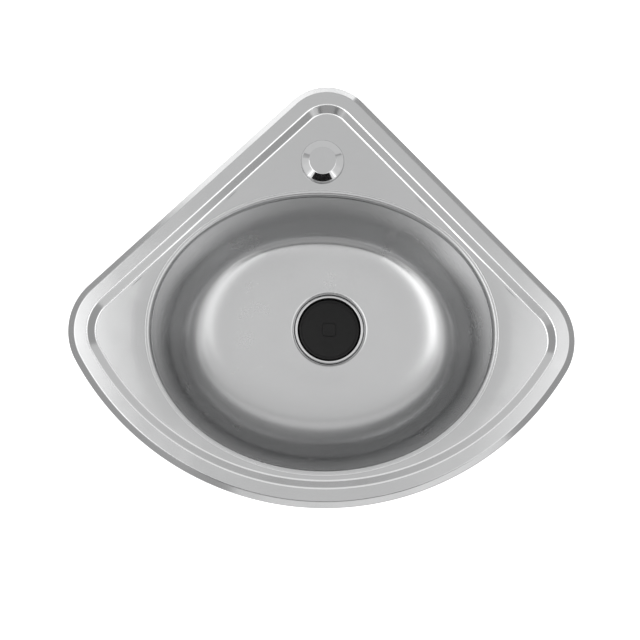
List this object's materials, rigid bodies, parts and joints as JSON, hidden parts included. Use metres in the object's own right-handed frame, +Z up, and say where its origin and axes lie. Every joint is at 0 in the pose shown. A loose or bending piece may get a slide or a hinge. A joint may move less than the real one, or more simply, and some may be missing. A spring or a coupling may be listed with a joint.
{
  "type": "corner kitchen sink",
  "caption": "Inset corner kitchen sink: fan-shaped pressed steel deck with a raised rim, an oval drawn bowl, a strainer waste with a plug, a covered tap hole and worktop clips.",
  "frame": {"origin": "middle of the bowl's mouth, on the worktop's top surface, which is the underside of the sealing strip", "axes": "+Z up, +Y towards the right-angled back corner, +X to the right seen from the curved front"},
  "size_m": [0.45, 0.378, 0.2108],
  "materials": {
    "satin_steel": "satin rolled and drawn stainless steel with a fine grain",
    "bowl_steel": "satin drawn stainless steel",
    "waste_steel": "bright pressed stainless steel",
    "chrome": "polished edge with a satin top",
    "zinc_strip": "zinc plated, slightly dull",
    "zinc_fastener": "zinc plated, bright",
    "foam_seal": "matt closed-cell foam",
    "rubber_seal": "matt rubber",
    "black_plastic": "moulded, lightly textured",
    "plug_plastic": "smooth black"
  },
  "bodies": {
    "sink": {"deck_panel": "satin_steel", "bowl": "bowl_steel", "rim_seal": "foam_seal", "clip_rails": "zinc_strip", "clip_studs": "zinc_fastener", "clip_nuts": "zinc_fastener", "tap_hole_cap": "chrome", "cap_gasket": "rubber_seal", "cap_stud": "zinc_fastener", "cap_clamp_washer": "black_plastic", "cap_wing_nut": "zinc_fastener", "waste_flange": "waste_steel", "flange_seal": "rubber_seal", "waste_body": "black_plastic", "body_seal": "rubber_seal", "waste_screw": "zinc_fastener"},
    "plug": {"drain_plug": "plug_plastic"},
    "back_right_clip": {"clip_back_right": "zinc_strip"},
    "back_left_clip": {"clip_back_left": "zinc_strip"},
    "side_right_clip": {"clip_side_right": "zinc_strip"},
    "side_left_clip": {"clip_side_left": "zinc_strip"}
  },
  "joints": [
    {"name": "plug_lift", "type": "slide", "parent": "sink", "child": "plug", "axis": [0, 0, 1], "range_m": [0, 0.2]},
    {"name": "back_right_swing", "type": "hinge", "parent": "sink", "child": "back_right_clip", "pos_m": [0.03991, 0.15329, -0.038], "axis": [0, 0, 1], "range_deg": [-90, 90]},
    {"name": "back_left_swing", "type": "hinge", "parent": "sink", "child": "back_left_clip", "pos_m": [-0.03991, 0.15329, -0.038], "axis": [0, 0, 1], "range_deg": [-90, 90]},
    {"name": "side_right_swing", "type": "hinge", "parent": "sink", "child": "side_right_clip", "pos_m": [0.18381, -0.01158, -0.038], "axis": [0, 0, 1], "range_deg": [-90, 90]},
    {"name": "side_left_swing", "type": "hinge", "parent": "sink", "child": "side_left_clip", "pos_m": [-0.18381, -0.01158, -0.038], "axis": [0, 0, 1], "range_deg": [-90, 90]}
  ]
}
